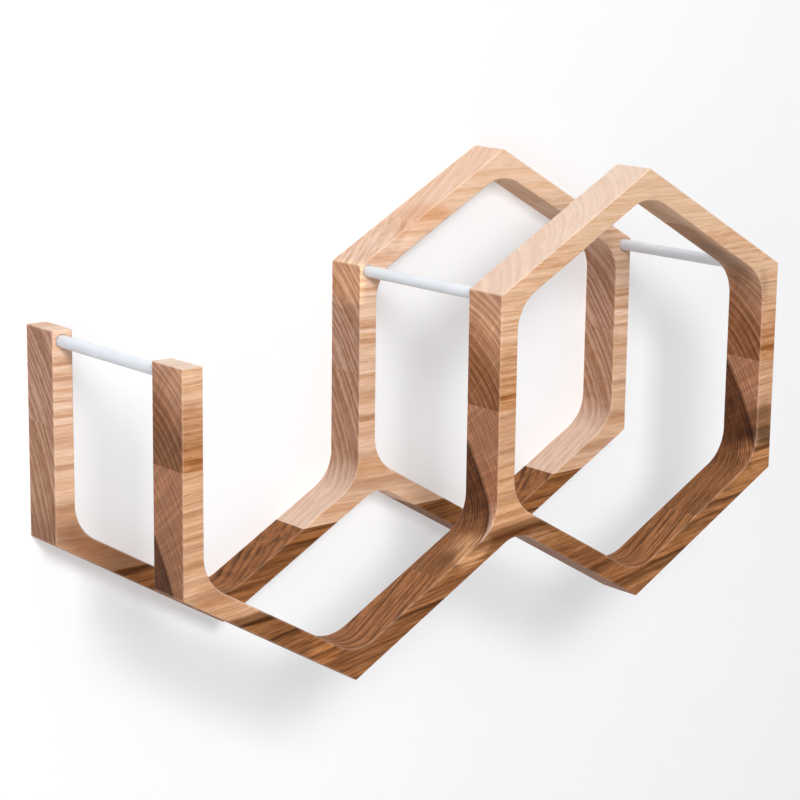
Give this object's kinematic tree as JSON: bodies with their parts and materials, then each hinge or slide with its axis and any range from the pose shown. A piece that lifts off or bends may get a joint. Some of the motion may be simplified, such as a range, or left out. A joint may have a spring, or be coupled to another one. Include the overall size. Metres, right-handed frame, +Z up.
{
  "type": "toilet roll holder",
  "caption": "Wall-hung toilet roll holder: linked hexagon cells cut from edge-glued oak board, a front and a back frame joined by slim white rods.",
  "frame": {"origin": "on the back face of the middle wall, at its middle, level with the centre of the right cell", "axes": "+X to the right as seen from the front, +Y towards the wall that it hangs on, +Z up"},
  "size_m": [0.272, 0.1, 0.1686],
  "materials": {
    "stave_top": "oiled, satin",
    "stave_upper": "oiled, satin",
    "stave_lower": "oiled, satin",
    "stave_bottom": "oiled, satin",
    "rod_paint": "satin"
  },
  "bodies": {
    "root": {"front_peak": "stave_top", "front_left_post": "stave_upper", "front_middle_shoulder": "stave_upper", "front_right_shoulder": "stave_upper", "front_left_elbow": "stave_lower", "front_fork": "stave_lower", "front_right_elbow": "stave_lower", "front_left_cradle": "stave_bottom", "front_right_cradle": "stave_bottom", "back_peak": "stave_top", "back_left_post": "stave_upper", "back_middle_shoulder": "stave_upper", "back_right_shoulder": "stave_upper", "back_left_elbow": "stave_lower", "back_fork": "stave_lower", "back_right_elbow": "stave_lower", "back_left_cradle": "stave_bottom", "back_right_cradle": "stave_bottom", "left_tie_rod": "rod_paint", "middle_tie_rod": "rod_paint", "right_tie_rod": "rod_paint"}
  },
  "joints": []
}
